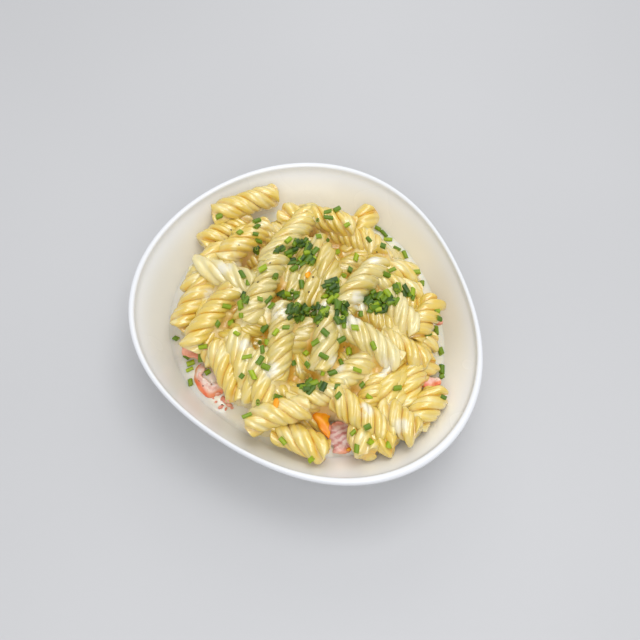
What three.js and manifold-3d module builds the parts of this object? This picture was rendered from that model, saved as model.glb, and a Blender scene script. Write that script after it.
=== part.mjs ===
// A white porcelain bowl of spiral pasta in cream sauce, with chopped chives, ham and carrot.
// Millimetres, +Z up. The origin is under the middle of the bowl, on the surface that it stands on.
// +Y points away from the side that the bowl is looked at from.
import * as THREE from "three";
import { mergeVertices } from "three/addons/utils/BufferGeometryUtils.js";
import Module from "manifold-3d";

const wasm = await Module();
wasm.setup();

// Bowl: a pebble-like oval, a little egg-shaped, with its long end at LONG_END.
const RIM_R = 88;
const BOWL_H = 50;
const FOOT_R = 42;
const FOOT_CHAMFER = 2.5;
const LIP_THICK = 3;
const LIP_STRAIGHT = 4.5;
const FLOOR_Z = 6;
const FLOOR_R = 34;
const OVAL = 0.066;
const EGG = 0.041;
const LONG_END = THREE.MathUtils.degToRad(-53);
const BOWL_SIDES = 44;
const WALL_STEPS = 5;

// Contents.
const GAP = 0.3;
const SAUCE_Z = 31;
const SAUCE_WALL = 18;
const CORE_FLOOR_Z = 16;
const CORE_CROWN_Z = 51;
const CORE_EDGE_Z = 36;
const CORE_RINGS = 5;

// Height of a spiral's axis on the heap: a dome that falls off to the edge, or higher where it leans on the wall.
const AXIS_EDGE_Z = 40;
const AXIS_CROWN_Z = 54;
const HEAP_INSET = 20;
const DOME_POWER = 2.4;
const WALL_REST = 7;
const LEVEL_STEP = 3.5;

// One spiral: three blades twisted to the right round an axis.
const SPIRAL_R = 7.5;
const VALLEY_R = 4.4;
const SPIRAL_PITCH = 30;
const BLADES = 3;
const STEP_LENGTH = 3.2;
const SPIRAL_SAG = 0.06;
const END_TAPER = 0.86;

// Slices of ham and carrot: bands of a given width and thickness.
const SLICE_SIDES = 6;
const SLICE_STEPS = 7;

// Chives: short pieces of stalk that lie on the heap.
const CHIVE_R = 1.5;
const CHIVE_LENGTH = 5.5;
const CHIVE_SIDES = 4;
const CHIVE_SINK = 0.3;
const CHIVE_LOWEST_Z = 42;
const CHIVE_SEED = 11;

// Each row is one spiral that shows: the two ends of its axis in plan, the level of each end, and its twist in degrees.
const SPIRALS = [
  [-60, -23, 1, -37, 6, 1, 20],
  [-51, 57, 0, -17, 72, 1, 50],
  [-65, -8, 0, -51, 18, 0, 80],
  [-59, 10, 0, -46, 38, 0, 10],
  [-57, 25, 1, -27, 8, 1, 30],
  [-30, -11, 1, -14, 26, 1, 100],
  [-45, 27, 0, -21, 51, 0, 60],
  [-56, 42, -1, -33, 58, -1, 0],
  [-20, 19, 1, 1, 57, 1, 45],
  [-14, 57, 1, 24, 47, 1, 15],
  [22, 30, 1, 33, 66, 1, 90],
  [24, 54, -1, 39, 31, -1, 70],
  [16, -5, 1, 37, 23, 1, 35],
  [30, 13, 0, 57, 12, 0, 5],
  [33, 17, 0, 54, 23, 0, 110],
  [39, 5, 1, 53, -15, 1, 75],
  [50, -17, 0, 64, 6, 0, 40],
  [48, -24, -1, 63, -14, -1, 20],
  [14, -12, 1, 43, -32, 1, 65],
  [34, -17, 0, 60, -30, 0, 95],
  [11, -44, 0, 37, -23, -1, 55],
  [5, -38, 1, 12, -4, 1, 85],
  [-16, -42, 1, -10, -4, 1, 0],
  [-36, -17, 1, -24, -48, 0, 60],
  [-44, -19, 0, -33, -47, 0, 105],
  [-26, -27, 1, -18, -57, 1, 15],
  [-29, -62, 1, 0, -54, 1, 70],
  [-15, -62, 0, 8, -75, 0, 30],
  [-9, -50, 0, 19, -43, 0, 90],
  [12, -49, 1, 39, -66, 1, 45],
  [50, -61, 0, 64, -38, 0, 10],
  [35, -53, 0, 51, -67, 0, 80],
  [47, -52, -1, 53, -24, -1, 20],
  [24, -62, 0, 28, -76, -1, 100],
  [5, 38, 0, 12, 3, 0, 35],
  [-44, -19, -1, -21, -9, 0, 75],
];

// Slices: name, points of the middle line, width, thickness, and lean from flat in degrees.
const SLICES = [
  ["ham_curl", [[-53, -25, 35], [-55, -32, 35], [-48, -40, 35.5], [-41, -37, 36.5]], 7, 2.6, -40],
  ["ham_back", [[-63, -12, 35], [-57, -16, 35], [-50, -17, 35.5]], 7, 2.6, 0],
  ["ham_front", [[13, -57, 35], [16, -64, 35.5], [19, -71, 35.5]], 12, 3, 0],
  ["ham_right", [[55, -36, 38], [60, -37, 39], [65, -36, 40]], 6, 2.8, 0],
  ["carrot_front", [[6, -50, 38], [7, -56, 38.5], [9, -62, 39]], 7, 4, 15],
];

// Chive groups: middle in plan, spread and number of pieces.
const CHIVE_GROUPS = [
  [-3, 24, 5, 5],
  [-10, 1, 4, 3],
  [-4, -8, 4, 3],
  [11, 2, 4, 3],
  [5, -9, 4, 3],
  [17, -8, 4, 2],
  [34, 0, 5, 4],
  [0, -45, 4, 3],
  [-26, 33, 6, 3],
  [-21, -30, 3, 1],
  [-31, 0, 4, 1],
  [48, 9, 5, 3],
];
const LOOSE_CHIVES = 13;
const LOOSE_REACH = 56;

// Radius of the rim over that of a round bowl, at plan angle theta.
function planFactor(theta) {
  const turn = theta - LONG_END;
  return 1 + OVAL * Math.cos(2 * turn) + EGG * Math.cos(3 * turn);
}

// The foot is round, and the oval comes in towards the rim.
function ovalRadius(radius, theta) {
  const share = THREE.MathUtils.clamp((radius - FOOT_R) / (RIM_R - FOOT_R), 0, 1.2);
  return radius * (1 + (planFactor(theta) - 1) * share);
}

function bezier(a, b, c, d, count) {
  const curve = new THREE.CubicBezierCurve(
    new THREE.Vector2(...a),
    new THREE.Vector2(...b),
    new THREE.Vector2(...c),
    new THREE.Vector2(...d),
  );
  return curve.getPoints(count);
}

// Outer wall from the foot up to just under the lip.
function outerWall() {
  return bezier([FOOT_R + 1, FOOT_CHAMFER], [57, 14], [74, 31], [RIM_R - 0.8, BOWL_H - LIP_STRAIGHT], WALL_STEPS);
}

// Inner wall from under the lip down to the floor, moved in by the given gap.
function innerWall(gap) {
  const inset = LIP_THICK + gap;
  return bezier(
    [RIM_R - 0.8 - inset - 0.5, BOWL_H - LIP_STRAIGHT + gap * 0.4],
    [72.5 - gap, 32.5 + gap],
    [57 - gap, 18.5 + gap],
    [FLOOR_R - gap, FLOOR_Z + gap],
    WALL_STEPS,
  );
}

// Turns a profile of (radius, height) points into a closed mesh on the oval plan.
function ovalLathe(points) {
  const lathe = new THREE.LatheGeometry(points, BOWL_SIDES);
  lathe.rotateX(Math.PI / 2);
  const position = lathe.getAttribute("position");
  for (let i = 0; i < position.count; i++) {
    const x = position.getX(i);
    const y = position.getY(i);
    const radius = Math.hypot(x, y);
    if (radius < 1e-6) {
      position.setXY(i, 0, 0);
      continue;
    }
    const factor = ovalRadius(radius, Math.atan2(y, x)) / radius;
    position.setXY(i, x * factor, y * factor);
  }
  return lathe;
}

function toSolid(geometry) {
  geometry.deleteAttribute("normal");
  geometry.deleteAttribute("uv");
  const merged = mergeVertices(geometry, 1e-4);
  const triVerts = new Uint32Array(merged.index.array);
  const vertProperties = new Float32Array(merged.attributes.position.array);
  return new wasm.Manifold(new wasm.Mesh({ numProp: 3, vertProperties, triVerts }));
}

function toGeometry(solid) {
  const mesh = solid.getMesh();
  const geometry = new THREE.BufferGeometry();
  geometry.setAttribute("position", new THREE.BufferAttribute(new Float32Array(mesh.vertProperties), 3));
  geometry.setIndex(new THREE.BufferAttribute(new Uint32Array(mesh.triVerts), 1));
  return geometry;
}

// The largest body of a solid: loose scraps and sealed hollows are left out.
function mainBody(solid) {
  const bodies = solid.decompose();
  return bodies.reduce((best, body) => (body.volume() > best.volume() ? body : best));
}

function bowlSolid() {
  const lipMid = RIM_R - LIP_THICK / 2;
  const points = [
    new THREE.Vector2(0, 0),
    new THREE.Vector2(FOOT_R, 0),
    ...outerWall(),
    new THREE.Vector2(RIM_R, BOWL_H - LIP_THICK / 2),
    new THREE.Vector2(lipMid + 0.8, BOWL_H - 0.3),
    new THREE.Vector2(lipMid, BOWL_H),
    new THREE.Vector2(lipMid - 0.8, BOWL_H - 0.3),
    new THREE.Vector2(RIM_R - LIP_THICK, BOWL_H - LIP_THICK / 2),
    ...innerWall(0),
    new THREE.Vector2(0, FLOOR_Z - 0.5),
  ];
  return toSolid(ovalLathe(points));
}

// Points of the inner wall, moved in by gap, that lie below height z, with one more at z itself.
function wallBelow(z, gap) {
  const wall = innerWall(gap).reverse();
  const below = wall.filter((p) => p.y < z - 0.5);
  const above = wall.find((p) => p.y >= z - 0.5);
  const last = below[below.length - 1];
  const share = (z - last.y) / (above.y - last.y);
  return [...below, new THREE.Vector2(last.x + share * (above.x - last.x), z)];
}

// Outline of the bare core below the sauce's level, grown outwards by gap.
function coreSocket(gap) {
  const top = wallBelow(SAUCE_Z, GAP).pop().x - SAUCE_WALL;
  return [
    new THREE.Vector2(0, CORE_FLOOR_Z - gap),
    new THREE.Vector2(top - 24, CORE_FLOOR_Z - gap),
    new THREE.Vector2(top - 8 + gap, 25 - gap * 0.5),
    new THREE.Vector2(top + gap, SAUCE_Z),
  ];
}

// Sauce: it fills the bowl round the heap's core, up to the level that shows.
function sauceSolid() {
  const points = [
    new THREE.Vector2(0, FLOOR_Z - 0.5 + GAP * 1.5),
    ...wallBelow(SAUCE_Z, GAP),
    ...coreSocket(GAP).reverse(),
  ];
  return toSolid(ovalLathe(points));
}

// The bare core of the heap: its socket in the sauce below, a dome above.
function coreSolid() {
  const socket = coreSocket(0);
  const edge = socket[socket.length - 1].x;
  const dome = [];
  for (let i = 1; i < CORE_RINGS; i++) {
    const share = 1 - i / CORE_RINGS;
    const z = CORE_EDGE_Z + (CORE_CROWN_Z - CORE_EDGE_Z) * (1 - share ** DOME_POWER);
    dome.push(new THREE.Vector2(edge * share, z));
  }
  const points = [...socket, new THREE.Vector2(edge, CORE_EDGE_Z), ...dome, new THREE.Vector2(0, CORE_CROWN_Z)];
  return toSolid(ovalLathe(points));
}

// Room for the pasta: inside the bowl and above the sauce, a gap clear of both, with the core's socket.
function roomSolid() {
  const wall = innerWall(GAP).reverse();
  const above = wall.filter((p) => p.y > SAUCE_Z + 1);
  const surface = wallBelow(SAUCE_Z + GAP, GAP).pop();
  const rimInner = RIM_R - LIP_THICK - GAP;
  const points = [
    ...coreSocket(0).slice(0, 3),
    new THREE.Vector2(coreSocket(0)[3].x, SAUCE_Z + GAP),
    surface,
    ...above,
    new THREE.Vector2(rimInner - 0.5, BOWL_H),
    new THREE.Vector2(rimInner - 0.5, BOWL_H + 40),
    new THREE.Vector2(0, BOWL_H + 40),
  ];
  return toSolid(ovalLathe(points));
}

// Height of a spiral's axis over (x, y), at one of the levels.
function axisHeight(x, y, level) {
  const radius = Math.hypot(x, y);
  const rim = RIM_R * planFactor(Math.atan2(y, x));
  const share = Math.min(1, radius / (rim - HEAP_INSET));
  const dome = AXIS_EDGE_Z + (AXIS_CROWN_Z - AXIS_EDGE_Z) * (1 - share ** DOME_POWER);
  const wall = BOWL_H - (rim - LIP_THICK - 1 - radius) + WALL_REST;
  return Math.max(dome + LEVEL_STEP * level, wall);
}

// Section of a spiral as (angle, radius) pairs: the edge of each blade and the valley after it.
function sectionAngles() {
  const angles = [];
  for (let blade = 0; blade < BLADES; blade++) {
    const middle = (blade * 2 * Math.PI) / BLADES;
    angles.push([middle, SPIRAL_R]);
    angles.push([middle + Math.PI / BLADES, VALLEY_R]);
  }
  return angles;
}

// A closed mesh through rings of equal length, each a list of points, with a fan to the middle of each end.
function skinRings(rings, first, last) {
  const n = rings[0].length;
  const points = [...rings.flat(), first, last];
  const index = [];
  for (let step = 0; step < rings.length - 1; step++) {
    for (let i = 0; i < n; i++) {
      const a = step * n + i;
      const b = step * n + ((i + 1) % n);
      index.push(a, b, a + n, b, b + n, a + n);
    }
  }
  const end = (rings.length - 1) * n;
  for (let i = 0; i < n; i++) {
    const j = (i + 1) % n;
    index.push(end + n, j, i);
    index.push(end + n + 1, end + i, end + j);
  }
  const geometry = new THREE.BufferGeometry();
  geometry.setFromPoints(points);
  geometry.setIndex(index);
  return toSolid(geometry);
}

// The directions across a path, level and upright, for its tangent.
function frameAcross(along) {
  const side = new THREE.Vector3(0, 0, 1).cross(along).normalize();
  const up = along.clone().cross(side);
  return [side, up];
}

// A spiral twisted to the right, on a slightly bent axis from start to end.
function spiralSolid(start, end, phase) {
  const length = start.distanceTo(end);
  const middle = start.clone().add(end).multiplyScalar(0.5);
  middle.z += length * SPIRAL_SAG * 2;
  const axis = new THREE.QuadraticBezierCurve3(start, middle, end);
  const rings = [];
  const steps = Math.round(length / STEP_LENGTH);
  for (let step = 0; step <= steps; step++) {
    const share = step / steps;
    const centre = axis.getPoint(share);
    const [side, up] = frameAcross(axis.getTangent(share));
    const twist = phase + (share * length * 2 * Math.PI) / SPIRAL_PITCH;
    const taper = step === 0 || step === steps ? END_TAPER : 1;
    const ring = sectionAngles().map(([angle, radius]) =>
      centre
        .clone()
        .addScaledVector(side, radius * taper * Math.cos(angle + twist))
        .addScaledVector(up, radius * taper * Math.sin(angle + twist)),
    );
    rings.push(ring);
  }
  return skinRings(rings, start, end);
}

function spiralFromRow([x0, y0, level0, x1, y1, level1, degrees]) {
  const start = new THREE.Vector3(x0, y0, axisHeight(x0, y0, level0));
  const end = new THREE.Vector3(x1, y1, axisHeight(x1, y1, level1));
  return spiralSolid(start, end, THREE.MathUtils.degToRad(degrees));
}

// A band along its middle line, rounded across and narrower at its ends, grown on all sides by gap.
function sliceSolid([, line, width, thickness, lean], gap) {
  const path = new THREE.CatmullRomCurve3(line.map((p) => new THREE.Vector3(...p)));
  const rings = [];
  for (let step = 0; step <= SLICE_STEPS; step++) {
    const share = step / SLICE_STEPS;
    const along = path.getTangent(share);
    const centre = path.getPoint(share).addScaledVector(along, (share * 2 - 1) * gap);
    const [side, up] = frameAcross(along);
    const turn = THREE.MathUtils.degToRad(lean);
    const narrow = 1 - 0.45 * Math.abs(2 * share - 1) ** 3;
    const ring = [];
    for (let i = 0; i < SLICE_SIDES; i++) {
      const angle = ((i + 0.5) * 2 * Math.PI) / SLICE_SIDES;
      const across = (width * narrow * 0.5 + gap) * Math.cos(angle) * 1.1;
      const high = (thickness * 0.5 + gap) * Math.sin(angle);
      const level = across * Math.cos(turn) - high * Math.sin(turn);
      const upright = across * Math.sin(turn) + high * Math.cos(turn);
      ring.push(centre.clone().addScaledVector(side, level).addScaledVector(up, upright));
    }
    rings.push(ring);
  }
  const first = path.getPoint(0).addScaledVector(path.getTangent(0), -gap);
  const last = path.getPoint(1).addScaledVector(path.getTangent(1), gap);
  return skinRings(rings, first, last);
}

// Pseudo-random numbers from 0 to 1, the same in every run.
function seededRandom(seed) {
  let state = seed;
  return () => {
    state = (state * 16807) % 2147483647;
    return state / 2147483647;
  };
}

// Plan positions of the chives: the groups, and loose ones spread evenly over the heap.
function chivePlaces(random) {
  const places = [];
  for (const [x, y, spread, count] of CHIVE_GROUPS) {
    for (let i = 0; i < count; i++) {
      const angle = (i / count + random() * 0.5) * 2 * Math.PI;
      const reach = spread * (0.4 + 0.6 * random());
      places.push([x + reach * Math.cos(angle), y + reach * Math.sin(angle)]);
    }
  }
  const goldenTurn = Math.PI * (3 - Math.sqrt(5));
  for (let i = 0; i < LOOSE_CHIVES; i++) {
    const reach = LOOSE_REACH * Math.sqrt((i + 0.5) / LOOSE_CHIVES);
    const angle = i * goldenTurn + random();
    places.push([reach * Math.cos(angle), reach * Math.sin(angle)]);
  }
  return places;
}

// Where a thing dropped at (x, y) lands on the heap, if it lands on top of a spiral.
function landing(heapMesh, x, y) {
  const above = new THREE.Vector3(x, y, BOWL_H * 2);
  const hit = new THREE.Raycaster(above, new THREE.Vector3(0, 0, -1)).intersectObject(heapMesh)[0];
  return hit && hit.point.z > CHIVE_LOWEST_Z ? hit : null;
}

// A piece of chive lying on the heap along the slope there, sunk a little into it.
function chiveSolid(hit, heading) {
  const normal = hit.face.normal;
  const level = new THREE.Vector3(Math.cos(heading), Math.sin(heading), 0);
  const along = level.addScaledVector(normal, -level.dot(normal)).normalize();
  const middle = hit.point.clone().addScaledVector(normal, CHIVE_R * (1 - 2 * CHIVE_SINK));
  const [side, up] = frameAcross(along);
  const ends = [-CHIVE_LENGTH / 2, CHIVE_LENGTH / 2].map((d) => middle.clone().addScaledVector(along, d));
  const rings = ends.map((centre) => {
    const ring = [];
    for (let i = 0; i < CHIVE_SIDES; i++) {
      const angle = (i * 2 * Math.PI) / CHIVE_SIDES;
      ring.push(
        centre
          .clone()
          .addScaledVector(side, CHIVE_R * Math.cos(angle))
          .addScaledVector(up, CHIVE_R * Math.sin(angle)),
      );
    }
    return ring;
  });
  return skinRings(rings, ends[0], ends[1]);
}

function heapSolid() {
  let heap = coreSolid();
  for (const row of SPIRALS) heap = heap.add(spiralFromRow(row));
  heap = heap.intersect(roomSolid());
  for (const slice of SLICES) heap = heap.subtract(sliceSolid(slice, GAP));
  heap = mainBody(heap);
  const heapMesh = new THREE.Mesh(toGeometry(heap));
  const random = seededRandom(CHIVE_SEED);
  for (const [x, y] of chivePlaces(random)) {
    const hit = landing(heapMesh, x, y);
    const heading = random() * 2 * Math.PI;
    if (hit) heap = heap.add(chiveSolid(hit, heading));
  }
  return mainBody(heap);
}

function part(name, solid, material) {
  const mesh = new THREE.Mesh(toGeometry(solid), new THREE.MeshStandardMaterial(material));
  mesh.name = name;
  return mesh;
}

function sliceLook(name) {
  const color = name.startsWith("carrot") ? 0xf08a10 : 0xe8907a;
  return { color, roughness: 0.4, metalness: 0 };
}

const bowlOfPasta = new THREE.Group();
bowlOfPasta.add(
  part("bowl", bowlSolid(), { color: 0xf0f1f4, roughness: 0.15, metalness: 0 }),
  part("sauce", sauceSolid(), { color: 0xeee3c2, roughness: 0.25, metalness: 0 }),
  part("pasta_heap", heapSolid(), { color: 0xe8d68c, roughness: 0.35, metalness: 0 }),
  ...SLICES.map((slice) => part(slice[0], sliceSolid(slice, 0), sliceLook(slice[0]))),
);

export default bowlOfPasta;
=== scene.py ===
"""A bowl of spiral pasta in cream sauce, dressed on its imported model."""

import math
import random

import bpy
import numpy as np
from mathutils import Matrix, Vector
from mathutils.bvhtree import BVHTree
from mathutils.noise import noise


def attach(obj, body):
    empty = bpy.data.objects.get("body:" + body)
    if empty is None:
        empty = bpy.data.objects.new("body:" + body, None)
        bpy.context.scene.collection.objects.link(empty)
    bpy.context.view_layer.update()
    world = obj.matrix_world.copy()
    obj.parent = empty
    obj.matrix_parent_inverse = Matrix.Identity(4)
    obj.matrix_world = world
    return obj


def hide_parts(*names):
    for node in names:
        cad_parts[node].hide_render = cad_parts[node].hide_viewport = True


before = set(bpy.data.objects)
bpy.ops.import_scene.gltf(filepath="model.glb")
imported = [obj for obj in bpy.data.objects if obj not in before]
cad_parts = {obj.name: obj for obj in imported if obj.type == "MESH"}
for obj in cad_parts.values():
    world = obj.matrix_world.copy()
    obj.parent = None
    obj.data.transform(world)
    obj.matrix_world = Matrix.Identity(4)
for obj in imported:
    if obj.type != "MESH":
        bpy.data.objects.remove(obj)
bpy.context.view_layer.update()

MM = 0.001

# Bowl
RIM_R = 88.0
BOWL_H = 50.0
FOOT_R = 42.0
LIP_THICK = 3.0
OVAL = 0.066
EGG = 0.041
LONG_END = math.radians(-53)
BOWL_SIDES = 192
OUTER_WALL = ((43, 2.5), (57, 14), (74, 31), (87.2, 45.5))
INNER_WALL = ((83.7, 45.5), (72.5, 32.5), (57, 18.5), (34, 6))
OUTER_STEPS = 26
INNER_STEPS = 34
LIP_STEPS = 13
LIP_FOOT_Z = 47.4
FOOT_PROFILE = [(8, 0), (22, 0), (36, 0), (40.4, 0), (41.4, 0.25), (42.1, 0.9)]
INSIDE_FLOOR = [(26, 5.85), (16, 5.7), (6, 5.6)]
# The oval plan goes on a little past the rim's radius
PLAN_MOST = 1.2

# Sauce in the bowl, with a thin edge up the wall
SAUCE_Z = 31.0
POOL_SIDES = 160
POOL_FLOOR = (14, 6.0)
POOL_IN_WALL = 0.25
EDGE_RISE = 1.8
EDGE_REACH = 2.6
EDGE_STEPS = (0.4, 0.9, 1.5, 2.2, 3.0, 4.0, 5.2, 6.6)
LEVEL_INSET = 8.5
POOL_MIDDLE_R = 4
POOL_RINGS = 38
POOL_BLEND = 6.0
# Its surface is uneven, but calm beside the wall
POOL_SKIN = 0.5
POOL_CALM = (0.5, 4)
RIPPLE = 0.7
RIPPLE_RATE = 90
# Raised, pinkish places where ham lies: middle, spread, rise
MOUNDS = [((-48, -32), (9, 12), 5.2), ((18, -67), (12, 10), 3.0)]

# Heap: heights of the spirals' middle lines
AXIS_EDGE_Z = 40.0
AXIS_CROWN_Z = 54.0
HEAP_INSET = 20.0
DOME_POWER = 2.4
WALL_INSET = 1.0
WALL_REST = 7.0
LEVEL_STEP = 3.5
CORE_BASE_Z = 17.0

# Spirals
SPIRAL_R = 7.45
CREASE_R = 4.9
FOLD_DEPTH = 0.78
FOLD_WIDTH = 15.0
LOBE_TILT = 0.35
SPIRAL_PITCH = 25.5
SPIRAL_SAG = 0.06
LUMP_RATE = 0.16
LUMP_HEIGHT = 0.75
UPPER_SEED = 5
UPPER_STEPS = 26
LOWER_SHAPE_SEED = 6
LOWER_STEPS = 20
SHARP_EDGE = 60

# Section of a spiral: angles over one blade, closer together at the creases
BLADES = 3
HALF_BLADE = 60
BLADE_ANGLES = [-60, -57.5, -54, -48.5, -41, -32, -23, -15, -8, -1, 6, 13, 21, 31, 40, 48, 54, 57.5]
BACK_POWER = 2.7
BACK_ROOT = 0.6
FOLD_SHIFT = 5

# Ends of a spiral: blades flare there, with deeper creases, and end raggedly round a hollow
END_RINGS = np.array([0, 0.3, 0.7, 1.2, 2.0, 3.0])
END_LENGTH = 4.2
FLARE_LENGTH = 5.0
FLARE_NARROWS = 11
FLARE_SHARPENS = 0.8
FLARE_CREASE = 0.28
FLARE_CREST = 0.02
FLARE_FOLD = 0.6
END_ROUNDING = 1.3
END_NARROWS = 0.20
RAGGED_RANGE = (-1.6, 1.5)
RAGGED_LENGTH = 4.0
HOLLOW_DEPTH = 1.8
HOLLOW_RING = 0.5
HOLLOW_RISE = 0.7
HOLLOW_GROOVES = (0.6, 0.8)

# Unevenness: ranges, and wavers given as how far they go and over what length
WAVE_PHASE = 6.28
SIZE_RANGE = (0.90, 1.03)
BLADE_RANGE = (0.95, 1.03)
PITCH_RANGE = (0.88, 1.20)
SIDE_WAVER = (0.7, 9)
UP_WAVER = (0.35, 7)
CREASE_WAVER = (0.05, 5)
TWIST_WAVER = (0.22, 6.5)

# Painted shade: the heap is a little darker towards its top
CROWN_SHADE = 0.46
CROWN_REACH = 52.0
# Places where thick cream lies on the spirals: x, y, reach
CREAM_SPOTS = [
    (-13, -10, 5.0), (21, -14, 5.0), (25, -2, 4.5), (7, -7, 3.5), (-34, 24, 5.0), (-17, -38, 4.0),
    (37, -35, 4.0), (43, -64, 3.5), (14, -35, 4.0), (27, -57, 4.0), (-42, 17, 4.5), (-49, 7, 3.5),
    (-30, -25, 3.5), (33, 22, 3.5),
]

# Each spiral: x, y, level at one end, x, y, level at the other, its turn in degrees,
# how creamy it is and how long its twist is drawn out
SPIRALS = [
    (-59, -21, 1, -37, 6, 1, 20, 0.3, 1.0), (-51, 57, 0, -17, 72, 1, 50, 0.35, 1.0),
    (-65, -8, 0, -51, 18, 0, 80, 0.3, 1.0), (-59, 10, 0, -46, 38, 0, 10, 0.35, 1.0),
    (-57, 25, 1, -27, 8, 1, 30, 0.9, 1.7), (-30, -11, 1, -14, 26, 1, 100, 0.6, 1.15),
    (-45, 27, 0, -21, 51, 0, 60, 0.4, 1.0), (-56, 42, -1, -33, 58, -1, 0, 0.3, 0.9),
    (-20, 19, 1, 1, 57, 1, 45, 0.45, 1.15), (-14, 57, 1, 24, 47, 1, 15, 0.3, 1.1),
    (20, 40, -3, 33.5, 62, 1.5, 85, 0.1, 1.5), (24, 54, -1, 39, 31, -1, 70, 0.5, 1.3),
    (34, 27, -2, 41, 32, 1, 0, 0.3, 1.0), (16, -5, 1, 37, 23, 1, 35, 0.6, 1.1),
    (30, 13, 0, 57, 12, 0, 5, 0.5, 1.0), (33, 17, 0, 54, 23, 0, 110, 0.3, 1.0),
    (39, 5, 1, 53, -15, 1, 75, 0.65, 1.4), (50, -17, 0, 64, 6, 0, 40, 0.1, 1.0),
    (48, -24, -1, 63, -14, -1, 20, 0.3, 1.0), (14, -12, 1, 43, -32, 1, 65, 0.75, 1.1),
    (34, -17, 0, 57, -29, 0, 95, 0.4, 1.0), (11, -44, 0, 37, -23, -1, 55, 0.6, 1.2),
    (5, -38, 1, 12, -4, 1, 85, 0.7, 1.3), (-13, -28, -1, 3, -11, -1, 25, 0.6, 1.0),
    (-16, -42, 1, -10, -4, 1, 0, 0.5, 1.0), (-36, -17, 1, -24, -48, 0, 60, 0.45, 1.3),
    (-44, -19, 0, -33, -47, 0, 105, 0.35, 1.3), (-26, -27, 1, -18, -57, 1, 15, 0.5, 1.2),
    (-29, -62, 1, 0, -54, 1, 70, 0.55, 1.1), (-15, -62, 0, 10, -74, 0, 30, 0.3, 1.0),
    (-9, -50, 0, 19, -43, 0, 90, 0.6, 1.1), (12, -49, 1, 39, -66, 1, 45, 0.35, 1.0),
    (50, -61, 0, 62.5, -42, 0, 10, 0.3, 0.85), (35, -53, 0, 51, -67, 0, 80, 0.4, 1.0),
    (37, -54, -1, 40, -29, -1, 50, 0.35, 1.0), (47, -52, -1, 53, -24, -1, 20, 0.3, 1.0),
    (24, -62, 0, 28, -76, -1, 100, 0.25, 1.0), (24, -62, -1, 41, -70, -1, 65, 0.2, 1.0),
    (5, 38, 0, 12, 3, 0, 35, 0.5, 1.3), (-13, 27, -1, -4, -2, -1, 5, 0.5, 1.2),
    (-44, -19, -1, -21, -9, 0, 75, 0.2, 1.0),
]

# Sauce between the spirals: as high as a ball lets it come that rolls over them
GRID = 0.75
HEAP_REACH = 84.0
PROBE_Z = 0.1
BALL = 2.4
INSET = 0.9
# It lies lower towards the edge, between these tables of radii and heights
EDGE_INSET = 3.0
EDGE_FADE = (48, 10)
FILM_TOP = ((46, 54, 62, 68), (60, 42, 35, 31))
FILM_BOTTOM = ((0, 40, 48, 55), (42, 39, 35, 29))
# Behind the heap it slopes down
FILLET_STEPS = 16
FILLET_SLOPE = 1.1
BACK_FADE = (12, 14)
SIDE_FADE = (46, 8)
# Neighbours on the grid: steps to each, and how far
STEP_LENGTHS = (0, 1, 1.41)
NEIGHBOURS = [(i, j, STEP_LENGTHS[abs(i) + abs(j)]) for i in (-1, 0, 1) for j in (-1, 0, 1)]
# It ends in the pool, and stays clear of the bowl
POOL_SAFE_R = 69.5
FILM_REACH_R = 81.5
UNDER_POOL = 1.5
BOWL_CLEAR = 0.5
FILM_LEAST = 0.6
FILM_THIN = 0.4
# Its colour follows its depth below the crests, darker amber deep down as painted shade, and how creamy the
# middle is
CREST_BALL = 6.0
CREAM_MIDDLE = (4, -2)
CREAM_REACH = 62
CREAM_LEAST = 0.2

# Camera
VIEW_DEGREES = 42.0
VIEW_RISE = math.radians(62)
VIEW_TARGET = (5.9, -7.6, 50.0)
VIEW_DISTANCE = 411.0
# The way from its target to it, and where it is
VIEW_BACK = Vector((0, -math.cos(VIEW_RISE), math.sin(VIEW_RISE)))
VIEW_PLACE = Vector(VIEW_TARGET) * MM + VIEW_BACK * VIEW_DISTANCE * MM
VIEW_PIXELS = 640

# Slices: middle line, width, thickness, lean, how far they narrow to their end, and
# which edge is red (with 0 the ends are red, and stripes run across the middle)
HAM_SLICES = {
    "ham_curl": ([(-53, -25, 35), (-55, -32, 35), (-48, -40, 35.5), (-41, -37, 36.5)], 7, 2.2, -48, 0.0, 1),
    "ham_back": ([(-63, -15, 35.5), (-57, -19, 36.5), (-50, -20, 37)], 7, 2.2, 0, 0.0, 0.2),
    "ham_front": ([(13, -56, 36), (16, -64, 36), (19, -71, 36)], 12, 2.4, 0, 0.0, 0),
    "ham_right": ([(55, -36, 38.5), (60, -37, 39.5), (65, -36, 40)], 6, 2.4, 0, 0.2, 1),
}
CARROT_SLICE = ([(5.5, -49, 39), (7, -56, 39.5), (10, -65.5, 39.5)], 9.0, 3.6, 12, 0.8, 1)
STRIP_STEPS = 36
STRIP_SIDES = 24
STRIP_SMOOTH = 6
WIDE_POWER = 0.45
THICK_POWER = 0.8
STRIP_END = 0.35
END_LEAST = 0.02
STRIP_SWAY = 0.5
HAM_SEED = 40
CARROT_SEED = 50
# How red a slice is across its width, or from its ends inward
RED_SPREAD = 1.1
RED_MOST = 0.9
RED_FALL = 3.2
RED_END = 0.72

# Chives
CHIVE_SEED = 11
CHIVE_SIDES = 10
CHIVE_BORE = 0.62
CHIVE_RADII = (0.95, 1.5)
CHIVE_LENGTHS = (2.2, 4.8)
CHIVE_TOP_Z = 65.1
CHIVE_CLEAR = 2.1
CHIVE_STACK = 1.7
CHIVE_FLAT = (0.62, 0.95)
CHIVE_SINK = 0.75
CHIVE_SLANT = 0.35
CHIVE_TIP = 0.15
CHIVE_UPWARD = 0.8
CHIVE_EDGE = 45
SINGLE_SWAY = 0.15
SINGLE_TONES = (0.3, 1.0)
CLUSTER_SWAY = 0.6
CLUSTER_DARK = 1.6
CLUSTER_TONE = 0.9
STAND_SHARE = 0.12
STAND_SHORT = 0.6
STAND_LEAN = 0.35
STANDING = 999

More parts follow.
